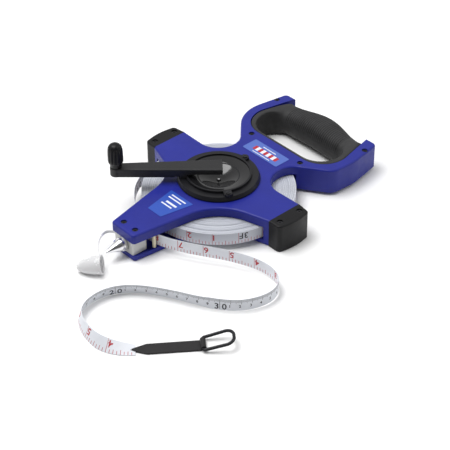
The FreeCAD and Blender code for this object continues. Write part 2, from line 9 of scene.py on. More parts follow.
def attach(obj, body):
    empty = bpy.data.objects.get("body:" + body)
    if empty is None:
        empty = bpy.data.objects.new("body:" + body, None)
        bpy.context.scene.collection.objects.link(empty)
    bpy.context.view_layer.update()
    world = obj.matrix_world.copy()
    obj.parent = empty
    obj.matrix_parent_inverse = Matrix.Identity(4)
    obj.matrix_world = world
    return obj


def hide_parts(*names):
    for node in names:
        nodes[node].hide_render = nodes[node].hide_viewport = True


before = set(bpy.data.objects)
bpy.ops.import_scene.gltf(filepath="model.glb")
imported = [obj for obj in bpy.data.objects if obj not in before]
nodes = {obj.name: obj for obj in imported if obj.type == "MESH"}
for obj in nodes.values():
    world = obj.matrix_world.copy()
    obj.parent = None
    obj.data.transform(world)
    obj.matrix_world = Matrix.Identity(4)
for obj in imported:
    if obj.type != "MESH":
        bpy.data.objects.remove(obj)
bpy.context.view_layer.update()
scene = bpy.context.scene

MM = 0.001
INCH = 0.0254


def mm(*values):
    """Millimetres to metres."""
    return tuple(value * MM for value in values)


# ---------------------------------------------------------------- camera, light and floor

CAMERA_PLACE = Vector(mm(-813.65, -914.32, 911.02))
CAMERA_TARGET = Vector(mm(-33.1, -45.6, 15.0))
CAMERA_ROLL = math.radians(0.4)
CAMERA_LENS = 122.5
CAMERA_SENSOR = 36.0


def make_camera():
    """Camera at the reference viewing angle."""
    data = bpy.data.cameras.new("camera")
    data.lens = CAMERA_LENS
    data.sensor_width = CAMERA_SENSOR
    data.clip_start = 0.05
    data.clip_end = 20.0
    camera = bpy.data.objects.new("camera", data)
    scene.collection.objects.link(camera)
    look = (CAMERA_TARGET - CAMERA_PLACE).normalized()
    camera.location = CAMERA_PLACE
    camera.rotation_mode = "QUATERNION"
    roll = Matrix.Rotation(-CAMERA_ROLL, 3, "Z").to_quaternion()
    camera.rotation_quaternion = look.to_track_quat("-Z", "Y") @ roll
    scene.camera = camera


def area_light(name, place, size, power):
    """Soft rectangular light aimed at the object."""
    data = bpy.data.lights.new(name, "AREA")
    data.shape = "RECTANGLE"
    data.size, data.size_y = size
    data.energy = power
    light = bpy.data.objects.new(name, data)
    scene.collection.objects.link(light)
    light.location = place
    light.rotation_mode = "QUATERNION"
    light.rotation_quaternion = (Vector((0, 0, 0)) - light.location).to_track_quat("-Z", "Y")


# Direction the surroundings darken towards, how closely a ray must point there, and the shades
DARK_SIDE = (-0.62, -0.70, 0.35)
DARK_START, DARK_FULL = 0.35, 0.85
WORLD_LIGHT, WORLD_DARK = 0.68, 0.10
FLOOR_HALF = 6.0
FLOOR_DROP = 0.2 * MM


def make_studio():
    """White surroundings that darken behind the camera, two soft lights and a pale floor."""
    world = bpy.data.worlds.new("studio")
    scene.world = world
    world.use_nodes = True
    tree = world.node_tree
    background = tree.nodes["Background"]
    background.inputs["Strength"].default_value = 1.0
    where = tree.nodes.new("ShaderNodeTexCoord")
    facing = tree.nodes.new("ShaderNodeVectorMath")
    facing.operation = "DOT_PRODUCT"
    facing.inputs[1].default_value = DARK_SIDE
    tree.links.new(where.outputs["Generated"], facing.inputs[0])
    shade = tree.nodes.new("ShaderNodeMapRange")
    tree.links.new(facing.outputs["Value"], shade.inputs["Value"])
    shade.inputs["From Min"].default_value = DARK_START
    shade.inputs["From Max"].default_value = DARK_FULL
    shade.inputs["To Min"].default_value = WORLD_LIGHT
    shade.inputs["To Max"].default_value = WORLD_DARK
    tree.links.new(shade.outputs["Result"], background.inputs["Color"])
    area_light("key", (-0.35, 0.35, 1.45), (1.1, 0.8), 20.0)
    area_light("fill", (0.9, -0.9, 1.2), (1.0, 1.0), 5.0)
    scene.view_settings.view_transform = "Standard"
    corners = [(x * FLOOR_HALF, y * FLOOR_HALF, 0) for x, y in ((-1, -1), (1, -1), (1, 1), (-1, 1))]
    floor = mesh_object("floor", corners, [(0, 1, 2, 3)])
    floor.location.z = -FLOOR_DROP
    floor.data.materials.append(floor_material())


# ---------------------------------------------------------------- meshes

def mesh_object(name, points, faces, smooth=False):
    """Object from points and faces."""
    mesh = bpy.data.meshes.new(name)
    mesh.from_pydata([tuple(p) for p in points], [], faces)
    mesh.update()
    if smooth:
        mesh.polygons.foreach_set("use_smooth", [True] * len(mesh.polygons))
    thing = bpy.data.objects.new(name, mesh)
    scene.collection.objects.link(thing)
    return thing


def finish_piece(thing, material, body, replaced=()):
    """Give a piece its material and body, and hide the CAD nodes it stands for."""
    if material:
        thing.data.materials.append(material)
    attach(thing, body)
    if replaced:
        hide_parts(*replaced)
    return thing


def grid_faces(rows, columns, closed_rows=False, closed_columns=False):
    """Quads of a grid of points stored row by row."""
    faces = []
    for i in range(rows if closed_rows else rows - 1):
        for j in range(columns if closed_columns else columns - 1):
            ni, nj = (i + 1) % rows, (j + 1) % columns
            faces.append((i * columns + j, i * columns + nj, ni * columns + nj, ni * columns + j))
    return faces


def lathe_mesh(profile, segments):
    """Points and faces of (r, z) pairs turned about Z; the first and last may lie on the axis."""
    points, faces, rings = [], [], []
    for r, z in profile:
        if r < 1e-9:
            rings.append([len(points)])
            points.append((0.0, 0.0, z))
            continue
        rings.append(list(range(len(points), len(points) + segments)))
        for k in range(segments):
            angle = 2 * math.pi * k / segments
            points.append((r * math.cos(angle), r * math.sin(angle), z))
    for lower, upper in zip(rings, rings[1:]):
        for k in range(segments):
            n = (k + 1) % segments
            if len(lower) == 1:
                faces.append((lower[0], upper[n], upper[k]))
            elif len(upper) == 1:
                faces.append((lower[k], lower[n], upper[0]))
            else:
                faces.append((lower[k], lower[n], upper[n], upper[k]))
    return points, faces


# ---------------------------------------------------------------- materials

class Paint:
    """Node material under construction round one Principled shader."""

    def __init__(self, name, colour, roughness, **settings):
        self.material = bpy.data.materials.new(name)
        self.material.use_nodes = True
        self.tree = self.material.node_tree
        self.shader = self.tree.nodes["Principled BSDF"]
        self.set(self.shader, "Base Color", colour)
        self.set(self.shader, "Roughness", roughness)
        for socket, value in settings.items():
            self.set(self.shader, socket.replace("_", " "), value)
        self.height = None

    @staticmethod
    def set(node, socket, value):
        """Set one socket, with alpha added to a colour."""
        if isinstance(value, tuple) and len(value) == 3 and socket != "Vector":
            value = (*value, 1.0)
        node.inputs[socket].default_value = value

    def node(self, kind, properties=None, **sockets):
        """Add a node with its properties and socket values."""
        node = self.tree.nodes.new(kind)
        for name, value in (properties or {}).items():
            setattr(node, name, value)
        for name, value in sockets.items():
            self.set(node, name.replace("_", " "), value)
        return node

    def link(self, source, target):
        """Join two sockets."""
        self.tree.links.new(source, target)

    def place(self):
        """Position in the object's own space."""
        return self.node("ShaderNodeTexCoord").outputs["Object"]

    def noise(self, scale, detail=2.0, where=None):
        """Noise over the surface, from 0 to 1."""
        noise = self.node("ShaderNodeTexNoise", Scale=scale, Detail=detail)
        self.link(where or self.place(), noise.inputs["Vector"])
        return noise.outputs["Fac"]

    def math(self, operation, first, second=0.0, third=0.0):
        """Maths node; any of its inputs may be a socket."""
        node = self.node("ShaderNodeMath", {"operation": operation})
        for socket, value in zip(node.inputs, (first, second, third)):
            if isinstance(value, bpy.types.NodeSocket):
                self.link(value, socket)
            else:
                socket.default_value = value
        return node.outputs[0]

    def ramp(self, source, start, end, low, high):
        """Source from start to end mapped to low to high."""
        node = self.node("ShaderNodeMapRange")
        self.link(source, node.inputs["Value"])
        for name, value in (("From Min", start), ("From Max", end), ("To Min", low), ("To Max", high)):
            node.inputs[name].default_value = value
        return node.outputs["Result"]

    def mix(self, factor, first, second):
        """Colour between two, by a factor socket."""
        node = self.node("ShaderNodeMix", {"data_type": "RGBA"})
        self.link(factor, node.inputs["Factor"])
        for socket, value in ((node.inputs[6], first), (node.inputs[7], second)):
            if isinstance(value, bpy.types.NodeSocket):
                self.link(value, socket)
            else:
                socket.default_value = (*value, 1.0)
        return node.outputs[2]

    def colour(self, source):
        """Use a colour socket as the base colour."""
        self.link(source, self.shader.inputs["Base Color"])

    def roughness(self, source):
        """Use a value socket as the roughness."""
        self.link(source, self.shader.inputs["Roughness"])

    def bump(self, source, depth, strength=1.0):
        """Add relief of that depth in metres; calls stack."""
        node = self.node("ShaderNodeBump", Strength=strength, Distance=depth)
        self.link(source, node.inputs["Height"])
        if self.height:
            self.link(self.height, node.inputs["Normal"])
        self.height = node.outputs["Normal"]
        self.link(self.height, self.shader.inputs["Normal"])


def mottled(paint, colour, amount, scale):
    """Slight change of shade over a moulded surface."""
    light = tuple(min(1.0, c * (1 + amount)) for c in colour)
    dark = tuple(c * (1 - amount) for c in colour)
    paint.colour(paint.mix(paint.ramp(paint.noise(scale, 3.0), 0.3, 0.7, 0.0, 1.0), dark, light))


def moulded(name, colour, roughness, grain, depth, shade=0.06, **settings):
    """Moulded plastic with a fine tool grain."""
    paint = Paint(name, colour, roughness, **settings)
    mottled(paint, colour, shade, 45.0)
    paint.roughness(paint.ramp(paint.noise(160.0, 3.0), 0.35, 0.65, roughness - 0.05, roughness + 0.06))
    paint.bump(paint.noise(grain, 2.0), depth)
    return paint


def floor_material():
    """Pale studio floor."""
    paint = Paint("studio_floor", (0.92, 0.92, 0.92), 0.7)
    mottled(paint, (0.92, 0.92, 0.92), 0.004, 3.0)
    return paint.material


def case_material():
    """Blue moulded case."""
    paint = moulded("case_blue", (0.013, 0.019, 0.235), 0.38, 1500.0, 0.00004, Specular_IOR_Level=0.28)
    paint.bump(paint.noise(40.0, 2.0), 0.0004, 0.12)
    return paint.material


def cap_material():
    """Black moulded end caps."""
    paint = moulded("cap_black", (0.005, 0.005, 0.006), 0.36, 1300.0, 0.00005, 0.12, Specular_IOR_Level=0.22)
    return paint.material


def hub_material():
    """Dark grey crank and hub disc."""
    paint = moulded("hub_black", (0.008, 0.008, 0.010), 0.40, 1300.0, 0.00006, 0.10, Specular_IOR_Level=0.26)
    return paint.material


def arm_material():
    """Dark grey crank arm with a coarser texture."""
    paint = moulded("arm_grey", (0.013, 0.013, 0.014), 0.44, 1200.0, 0.00010, 0.10, Specular_IOR_Level=0.36)
    return paint.material


def rubber_material():
    """Soft black grip."""
    paint = moulded(
        "grip_rubber", (0.030, 0.030, 0.031), 0.60, 1100.0, 0.00010, 0.22, Specular_IOR_Level=0.28,
    )
    return paint.material


def bowl_material():
    """Polished black bowl."""
    paint = Paint("dish_black", (0.010, 0.010, 0.011), 0.10)
    mottled(paint, (0.010, 0.010, 0.011), 0.10, 60.0)
    paint.roughness(paint.ramp(paint.noise(90.0), 0.3, 0.7, 0.08, 0.15))
    return paint.material


def block_material():
    """Silver-grey nose block."""
    paint = moulded("block_grey", (0.50, 0.50, 0.49), 0.35, 1200.0, 0.00005, 0.05, Metallic=0.35)
    return paint.material


def chrome_material():
    """Bright turned steel with fine turning marks round its axis."""
    paint = Paint("point_steel", (0.78, 0.78, 0.80), 0.10, Metallic=1.0)
    axes = paint.node("ShaderNodeSeparateXYZ")
    paint.link(paint.place(), axes.inputs["Vector"])
    marks = paint.math("SINE", paint.math("MULTIPLY", axes.outputs["X"], 24000.0))
    paint.bump(marks, 0.000004)
    paint.roughness(paint.ramp(paint.noise(500.0), 0.3, 0.7, 0.07, 0.16))
    return paint.material


def steel_material():
    """Plain steel pins."""
    paint = Paint("pin_steel", (0.55, 0.55, 0.56), 0.25, Metallic=1.0)
    paint.roughness(paint.ramp(paint.noise(800.0), 0.3, 0.7, 0.2, 0.38))
    return paint.material


def screw_material():
    """Blackened screws."""
    paint = Paint("screw_black", (0.035, 0.035, 0.04), 0.35, Metallic=0.7)
    paint.roughness(paint.ramp(paint.noise(900.0), 0.3, 0.7, 0.28, 0.45))
    paint.bump(paint.noise(2000.0), 0.00002)
    return paint.material


def roller_material():
    """Cream rollers."""
    return moulded("roller_cream", (0.72, 0.66, 0.47), 0.38, 1200.0, 0.00003, 0.04).material


def spool_material():
    """Grey spool."""
    return moulded("spool_grey", (0.07, 0.07, 0.075), 0.45, 1200.0, 0.00005).material


TAPE_COLOUR = (0.72, 0.74, 0.79)


def tape_material():
    """White coated tape with the faint weave of its fibres, from lengthwise and crosswise coordinates."""
    paint = Paint("tape_white", TAPE_COLOUR, 0.42, Coat_Weight=0.15)
    mottled(paint, TAPE_COLOUR, 0.03, 120.0)
    coordinates = paint.node("ShaderNodeUVMap", {"uv_map": "strip"})
    axes = paint.node("ShaderNodeSeparateXYZ")
    paint.link(coordinates.outputs["UV"], axes.inputs["Vector"])
    fibres = paint.math("SINE", paint.math("MULTIPLY", axes.outputs["Y"], 2 * math.pi / 0.0007))
    paint.bump(fibres, 0.00002, 0.6)
    return paint.material


def roll_material():
    """Edges of the wound tape, each wrap a little different in shade."""
    paint = Paint("roll_white", TAPE_COLOUR, 0.5)
    axes = paint.node("ShaderNodeSeparateXYZ")
    paint.link(paint.place(), axes.inputs["Vector"])
    square = paint.math("MULTIPLY", axes.outputs["X"], axes.outputs["X"])
    square = paint.math("MULTIPLY_ADD", axes.outputs["Y"], axes.outputs["Y"], square)
    radius = paint.math("SQRT", square)
    wraps = paint.node("ShaderNodeTexNoise", {"noise_dimensions": "1D"}, Scale=1400.0, Detail=2.0)
    paint.link(radius, wraps.inputs["W"])
    share = paint.ramp(wraps.outputs["Fac"], 0.35, 0.65, 0.0, 1.0)
    paint.colour(paint.mix(share, (0.42, 0.44, 0.50), (0.80, 0.82, 0.87)))
    return paint.material


def groove_shade_material():
    """Painted shade in the gaps between wraps: dark grey on the groove faces."""
    paint = Paint("roll_groove_painted_shade", (0.20, 0.21, 0.25), 0.7)
    mottled(paint, (0.20, 0.21, 0.25), 0.2, 300.0)
    return paint.material


def ink_material(name, colour):
    """Printing ink on the tape and labels."""
    paint = Paint(name, colour, 0.45)
    mottled(paint, colour, 0.08, 700.0)
    return paint.material


def label_material():
    """Light blue printed film."""
    paint = Paint("label_blue", (0.016, 0.068, 0.40), 0.32)
    mottled(paint, (0.016, 0.068, 0.40), 0.05, 35.0)
    return paint.material


def sheen_label_material():
    """Blue printed film by the grip, made paler than the nose label as painted sheen."""
    paint = Paint("label_blue_painted_sheen", (0.07, 0.13, 0.45), 0.30)
    mottled(paint, (0.07, 0.13, 0.45), 0.06, 35.0)
    return paint.material


def sheath_material():
    """Matt black vinyl sleeve."""
    paint = moulded("sheath_black", (0.012, 0.011, 0.012), 0.5, 900.0, 0.00008, 0.15, Specular_IOR_Level=0.30)
    return paint.material


def ring_material():
    """Black coated end ring."""
    paint = moulded("ring_black", (0.008, 0.008, 0.011), 0.4, 900.0, 0.00005, 0.12, Specular_IOR_Level=0.30)
    return paint.material


def clear_material():
    """Cloudy soft clear plastic."""
    paint = Paint("cap_clear", (0.84, 0.84, 0.85), 0.24, Transmission_Weight=0.28, IOR=1.38)
    mottled(paint, (0.84, 0.84, 0.85), 0.02, 60.0)
    paint.roughness(paint.ramp(paint.noise(150.0, 3.0), 0.3, 0.7, 0.18, 0.30))
    return paint.material


# ---------------------------------------------------------------- loose tape

TAPE_WIDE = 13.0 * MM
TAPE_THICK = 0.5 * MM
TAPE_ROUTE = [
    mm(-20.0, 75.0, 13.2),
    mm(-49.9, 68.6, 13.2),
    mm(-79.1, 36.4, 13.2),
    mm(-94.9, 5.6, 13.2),
    mm(-95.2, -18.4, 13.2),
    mm(-77.6, -52.8, 12.6),
    mm(-57.3, -80.5, 11.1),
    mm(-42.8, -114.3, 9.4),
    mm(-47.8, -140.6, 8.3),
    mm(-72.9, -149.1, 7.5),
    mm(-107.4, -130.6, 6.8),
    mm(-141.1, -61.3, 6.5),
    mm(-170.3, -36.3, 6.5),
    mm(-206.0, -38.5, 6.5),
    mm(-221.0, -61.4, 6.5),
    mm(-221.6, -97.1, 5.2),
    mm(-200.7, -112.7, 0.85),
]
STRAP_WIDE = 3.3 * MM
STRAP_THICK = 1.4 * MM
STRAP_ROUTE = [
    mm(-115.4, 12.4, 15.2),
    mm(-120.2, 22.4, 15.4),
    mm(-129.5, 22.9, 15.8),
    mm(-140.8, 14.3, 16.2),
    mm(-148.4, 4.7, 16.8),
    mm(-154.1, -3.9, 17.0),
]
ZERO_PAST_END = 76.0 * MM
SAMPLES_PER_POINT = 40


def spline_points(name, route):
    """Points along the smooth NURBS line whose control points are the route."""
    data = bpy.data.curves.new(name, "CURVE")
    data.dimensions = "3D"
    data.resolution_u = SAMPLES_PER_POINT
    spline = data.splines.new("NURBS")
    spline.points.add(len(route) - 1)
    for point, place in zip(spline.points, route):
        point.co = (*place, 1.0)
    spline.order_u = 3
    spline.use_endpoint_u = True
    curve = bpy.data.objects.new(name, data)
    scene.collection.objects.link(curve)
    bpy.context.view_layer.update()
    mesh = bpy.data.meshes.new_from_object(curve)
    points = np.array([vertex.co for vertex in mesh.vertices])
    bpy.data.meshes.remove(mesh)
    bpy.data.objects.remove(curve)
    bpy.data.curves.remove(data)
    return points


class Strip:
    """Flat band on edge along a line, lying down where its centre sinks below half its width."""

    def __init__(self, line, width, thickness, rests_on_floor):
        self.line = line
        self.width = width
        self.thickness = thickness
        steps = np.linalg.norm(np.diff(line, axis=0), axis=1)
        self.along = np.concatenate([[0.0], np.cumsum(steps)])
        self.length = float(self.along[-1])
        forward = np.gradient(line, self.along, axis=0)
        forward[:, 2] = 0.0
        forward /= np.linalg.norm(forward, axis=1)[:, None]
        level = np.cross([0.0, 0.0, 1.0], forward)
        upright = np.zeros_like(level)
        upright[:, 2] = 1.0
        lean = np.ones(len(line))
        if rests_on_floor:
            lean = np.clip((line[:, 2] - thickness / 2) / (width / 2), 0.0, 1.0)
        lie = np.sqrt(1.0 - lean ** 2)
        self.across = upright * lean[:, None] + level * lie[:, None]
        self.normal = np.cross(forward, self.across)

    def at(self, s, v, out):
        """Point at distance s along, v across from the centre and out from the middle of the band."""
        def pick(values):
            return np.array([np.interp(s, self.along, values[:, k]) for k in range(3)])
        return pick(self.line) + pick(self.across) * v + pick(self.normal) * out

    def mesh(self, name, start=0.0, end=None):
        """Closed band with softened edges and strip coordinates."""
        end = self.length if end is None else end
        half, thin = self.width / 2, self.thickness / 2
        edge = thin * 0.6
        section = [
            (-half + edge, -thin), (half - edge, -thin), (half, -thin + edge), (half, thin - edge),
            (half - edge, thin), (-half + edge, thin), (-half, thin - edge), (-half, -thin + edge),
        ]
        stations = [s for s in self.along if start < s < end]
        stations = [start] + stations + [end]
        points = [self.at(s, v, out) for s in stations for v, out in section]
        faces = grid_faces(len(stations), len(section), closed_columns=True)
        last = (len(stations) - 1) * len(section)
        faces.append(tuple(reversed(range(len(section)))))
        faces.append(tuple(range(last, last + len(section))))
        thing = mesh_object(name, points, [tuple(reversed(f)) for f in faces], smooth=True)
        layer = thing.data.uv_layers.new(name="strip")
        for loop in thing.data.loops:
            row, column = divmod(loop.vertex_index, len(section))
            layer.data[loop.index].uv = (stations[row], section[column][0])
        thing.data.set_sharp_from_angle(angle=math.radians(40))
        return thing


# ---------------------------------------------------------------- print

INK_LIFT = 0.03 * MM
SCALE_INSET = 0.2 * MM

# Inch scale: the full line, its ticks, and the numeral's height, gap from the line and middle above the edge
INCH_LINE_WIDE, INCH_LINE_HIGH = mm(0.42, 12.4)
INCH_TICK_WIDE = 0.46 * MM
HALF_TICK, QUARTER_TICK, EIGHTH_TICK = mm(4.6, 3.8, 3.2)
INCH_TEXT, INCH_TEXT_GAP, INCH_TEXT_MIDDLE = mm(6.4, 0.7, 7.9)

# Metric scale: line and tick widths and heights, and the numerals of the decimetres and of the centimetres
DECIMETRE_WIDE, DECIMETRE_HIGH = mm(0.44, 11.6)
CENTIMETRE_WIDE, CENTIMETRE_HIGH = mm(0.36, 5.2)
MILLIMETRE_WIDE, FIVE_HIGH, MILLIMETRE_HIGH = mm(0.28, 4.2, 3.2)
LARGE_TEXT, LARGE_TEXT_BEFORE, LARGE_TEXT_AFTER, LARGE_TEXT_MIDDLE = mm(6.4, 6.4, 1.1, 8.4)
SMALL_TEXT, SMALL_TEXT_GAP, SMALL_TEXT_MIDDLE = mm(3.0, 0.5, 7.6)

# Letters: cap height over font size, stroke gain over height, letter spacing
CAP_SHARE = 0.70
STROKE_GAIN = 0.03
LETTER_SPACING = 1.05


class Print:
    """Ink of one colour, gathered as thin closed shapes and then made one piece."""

    def __init__(self, place):
        self.place = place
        self.points = []
        self.faces = []

    def bar(self, s, width, v0, v1):
        """Rectangle across the tape."""
        base = len(self.points)
        left, right = s - width / 2, s + width / 2
        corners = [(left, v0), (right, v0), (right, v1), (left, v1)]
        for out in (-INK_LIFT, INK_LIFT):
            self.points += [self.place(a, b, out) for a, b in corners]
        self.faces += [
            (base + 3, base + 2, base + 1, base), (base + 4, base + 5, base + 6, base + 7),
            (base, base + 1, base + 5, base + 4), (base + 1, base + 2, base + 6, base + 5),
            (base + 2, base + 3, base + 7, base + 6), (base + 3, base, base + 4, base + 7),
        ]

    def text(self, words, height, s, v, flip):
        """Numerals whose reading direction is towards smaller s; s is where they end, v their middle."""
        points, faces = glyphs(words, height)
        width = max(p[0] for p in points)
        base = len(self.points)
        for x, y, z in points:
            along = s + (width - x)
            across = v + (y - height / 2) * flip
            self.points.append(self.place(along, across, z))
        self.faces += [tuple(base + i for i in face) for face in faces]

    def make(self, name, material, body, slot):
        """The gathered ink as one piece."""
        thing = mesh_object(name, self.points, self.faces)
        return finish_piece(thing, material, body)


def glyphs(words, height):
    """Points and faces of extruded text, left end at 0 and base line at 0."""
    data = bpy.data.curves.new("glyphs", "FONT")
    data.body = words
    data.size = height / CAP_SHARE
    data.extrude = INK_LIFT
    data.offset = height * STROKE_GAIN
    data.resolution_u = 3
    data.space_character = LETTER_SPACING
    thing = bpy.data.objects.new("glyphs", data)
    scene.collection.objects.link(thing)
    bpy.context.view_layer.update()
    mesh = bpy.data.meshes.new_from_object(thing)
    points = [tuple(vertex.co) for vertex in mesh.vertices]
    faces = [tuple(polygon.vertices) for polygon in mesh.polygons]
    bpy.data.meshes.remove(mesh)
    bpy.data.objects.remove(thing)
    bpy.data.curves.remove(data)
    left = min(p[0] for p in points)
    return [(x - left, y, z) for x, y, z in points], faces


def inch_name(number):
    """Numeral of an inch mark: feet are counted apart, as 3F."""
    return f"{number // 12}F" if number % 12 == 0 else str(number % 12)


def print_inches(red, black, start, end, zero, edge):
    """Inch scale between two distances along, its numerals on their heads and its ticks on the lower edge."""
    first, last = math.ceil((zero - end) / (INCH / 8)), math.floor((zero - start) / (INCH / 8))
    for eighth in range(first, last + 1):
        s = zero - eighth * INCH / 8
        if eighth % 8 == 0:
            red.bar(s, INCH_LINE_WIDE, edge, edge + INCH_LINE_HIGH)
            number = eighth // 8
            ink = black if number % 12 == 0 else red
            ink.text(inch_name(number), INCH_TEXT, s + INCH_TEXT_GAP, edge + INCH_TEXT_MIDDLE, -1)
        else:
            long = HALF_TICK if eighth % 4 == 0 else QUARTER_TICK if eighth % 2 == 0 else EIGHTH_TICK
            red.bar(s, INCH_TICK_WIDE, edge, edge + long)


def print_centimetres(black, start, end, zero, edge):
    """Metric scale on the other face; ticks hang from the upper edge."""
    first, last = math.ceil((zero - end) / MM), math.floor((zero - start) / MM)
    for number in range(first, last + 1):
        s = zero - number * MM
        if number % 100 == 0:
            black.bar(s, DECIMETRE_WIDE, edge, edge - DECIMETRE_HIGH)
        elif number % 10 == 0:
            black.bar(s, CENTIMETRE_WIDE, edge, edge - CENTIMETRE_HIGH)
        else:
            long = FIVE_HIGH if number % 5 == 0 else MILLIMETRE_HIGH
            black.bar(s, MILLIMETRE_WIDE, edge, edge - long)
        if number % 100 == 0 and number > 0:
            digits = str(number // 10)
            black.text(digits[1:], LARGE_TEXT, s - LARGE_TEXT_BEFORE, edge - LARGE_TEXT_MIDDLE, 1)
            black.text(digits[0], LARGE_TEXT, s + LARGE_TEXT_AFTER, edge - LARGE_TEXT_MIDDLE, 1)
        elif number % 10 == 0 and number > 0:
            digit = str(number // 10 % 10)
            black.text(digit, SMALL_TEXT, s + SMALL_TEXT_GAP, edge - SMALL_TEXT_MIDDLE, 1)


def make_tape(paints):
    """Loose end of the tape with both scales."""
    strip = Strip(spline_points("tape_line", TAPE_ROUTE), TAPE_WIDE, TAPE_THICK, True)
    tape = strip.mesh("loose_tape")
    finish_piece(tape, paints["tape"], "frame", ["tape_free"])
    thin = TAPE_THICK / 2
    half = TAPE_WIDE / 2 - SCALE_INSET
    start, end = 1 * MM, strip.length - 2 * MM
    zero = strip.length + ZERO_PAST_END

    def outer(s, v, out):
        return strip.at(s, v, thin + out)

    def inner(s, v, out):
        return strip.at(s, v, -thin - out)

    red, dark, metric = Print(outer), Print(outer), Print(inner)
    print_inches(red, dark, start, end, zero, -half)
    print_centimetres(metric, start, end, zero, half)
    printed = [
        red.make("tape_inch_print", paints["red"], "frame", "tape_white"),
        dark.make("tape_foot_print", paints["ink"], "frame", "tape_white"),
        metric.make("tape_centimetre_print", paints["ink"], "frame", "tape_white"),
    ]
    return strip, tape, printed


# ---------------------------------------------------------------- wound tape

ROLL_R = 76.5 * MM
CORE_R = 30.0 * MM
ROLL_LOW = 6.7 * MM
ROLL_HIGH = 19.7 * MM
ROLL_SHOULDER = 0.1 * MM
WRAP = 0.5 * MM
WRAP_TOP = mm(0.04, 0.36)
GROOVE = mm(0.43, 0.48)
GROOVE_DEPTH = 0.75
ROLL_STEPS = 180
ROLL_SEED = 7

# Angle of one inch line on the roll's outside, in degrees, and its number
ROLL_MARK_ANGLE = 223.3
ROLL_MARK_INCH = 37


def make_roll(paints):
    """Wound tape whose wraps stand at slightly different heights, with the inch scale on its outside."""
    draw = random.Random(ROLL_SEED)
    wraps = round((ROLL_R - CORE_R) / WRAP)
    rings, grooves = [(CORE_R, ROLL_LOW, None)], set()
    for i in range(wraps):
        inner = CORE_R + i * WRAP
        drop = draw.uniform(0.0, 0.28) + (0.35 if draw.random() < 0.12 else 0.0)
        wave = (draw.uniform(0.02, 0.12), draw.randint(1, 4), draw.uniform(0, 2 * math.pi))
        rings += [(inner + place, ROLL_HIGH - drop * MM, wave) for place in WRAP_TOP]
        if i < wraps - 1:
            grooves |= {len(rings), len(rings) + 1}
            rings += [(inner + place, ROLL_HIGH - (drop + GROOVE_DEPTH) * MM, None) for place in GROOVE]
    rings[-1] = (ROLL_R, ROLL_HIGH - ROLL_SHOULDER, None)
    rings.append((ROLL_R, ROLL_LOW, None))
    points = []
    for r, z, wave in rings:
        for k in range(ROLL_STEPS):
            angle = 2 * math.pi * k / ROLL_STEPS
            lift = wave[0] * MM * (math.sin(wave[1] * angle + wave[2]) - 1.0) if wave else 0.0
            points.append((r * math.cos(angle), r * math.sin(angle), z + lift))
    faces = grid_faces(len(rings), ROLL_STEPS, closed_rows=True, closed_columns=True)
    roll = mesh_object("wound_tape", points, faces, smooth=True)
    finish_piece(roll, paints["roll"], "reel", ["tape_roll"])
    # The groove faces take the dark grey of painted shade between wraps.
    roll.data.materials.append(paints["groove"])
    for polygon in roll.data.polygons:
        row = polygon.index // ROLL_STEPS
        if row in grooves and row + 1 in grooves:
            polygon.material_index = 1
    roll.data.set_sharp_from_angle(angle=math.radians(35))
    middle = (ROLL_LOW + ROLL_HIGH) / 2
    turn = 2 * math.pi * ROLL_R

    def place(s, v, out):
        angle = s / ROLL_R
        r = ROLL_R + out
        return (r * math.cos(angle), r * math.sin(angle), middle + v)

    red, dark = Print(place), Print(place)
    mark = math.radians(ROLL_MARK_ANGLE) * ROLL_R
    zero = mark + ROLL_MARK_INCH * INCH
    print_inches(red, dark, mark - turn * 0.5, mark + turn * 0.49, zero, -TAPE_WIDE / 2 + SCALE_INSET)
    red.make("roll_inch_print", paints["red"], "reel", "tape_white")
    dark.make("roll_foot_print", paints["ink"], "reel", "tape_white")


# ---------------------------------------------------------------- stake cap and strap

CAP_MOUTH = Vector(mm(-154.1, -7.5, 9.75))
CAP_TIP = Vector(mm(-171.0, 10.2, 5.6))
CAP_MOUTH_R = 9.4 * MM
CAP_WALL = 1.2 * MM
CAP_STEPS = 22
CAP_SEGMENTS = 72
RIM_SOFT = 0.15 * MM
RIM_RISE = 0.35 * MM


def make_stake_cap(paints):
    """Bullet-shaped clear cap lying on its side."""
    axis = CAP_MOUTH - CAP_TIP
    long = axis.length
    inner_r, bottom = CAP_MOUTH_R - CAP_WALL, CAP_WALL * 1.4
    outer, inner = [], []
    for i in range(CAP_STEPS + 1):
        turn = math.pi / 2 * i / CAP_STEPS
        rise = 1 - math.cos(turn)
        outer.append((CAP_MOUTH_R * math.sin(turn), long * rise))
        inner.append((inner_r * math.sin(turn), bottom + (long - bottom) * rise))
    rim = [(CAP_MOUTH_R - RIM_SOFT, long + RIM_RISE), (inner_r + RIM_SOFT, long + RIM_RISE)]
    points, faces = lathe_mesh(outer + rim + inner[::-1], CAP_SEGMENTS)
    cap = mesh_object("clear_stake_cap", points, faces, smooth=True)
    cap.data.transform(Matrix.Translation(CAP_TIP) @ axis.to_track_quat("Z", "Y").to_matrix().to_4x4())
    return finish_piece(cap, paints["clear"], "frame", ["spike_cap"])


def make_strap(paints, cap):
    """Clear strap from the nose to the cap."""
    strip = Strip(spline_points("strap_line", STRAP_ROUTE), STRAP_WIDE, STRAP_THICK, False)
    strap = strip.mesh("clear_strap")
    finish_piece(strap, paints["clear"], "frame", ["cap_strap"])


# ---------------------------------------------------------------- rubber grip

GRIP_SPINE_X = 106.0
GRIP_SPINE_Y = 34.0
GRIP_INSIDE = [(87.0, 59.6, 25.0), (126.5, 50.6, 14.0), (126.5, -50.6, 14.0), (87.0, -59.6, 25.0)]
GRIP_OUTSIDE = [(83.55, 67.3, 28.0), (152.3, 52.2, 2.0), (152.3, -52.2, 2.0), (83.55, -67.3, 28.0)]
GRIP_REAR_CROWN = 9.0
GRIP_CROWN_REACH = 50.0
GRIP_SECTION = 64

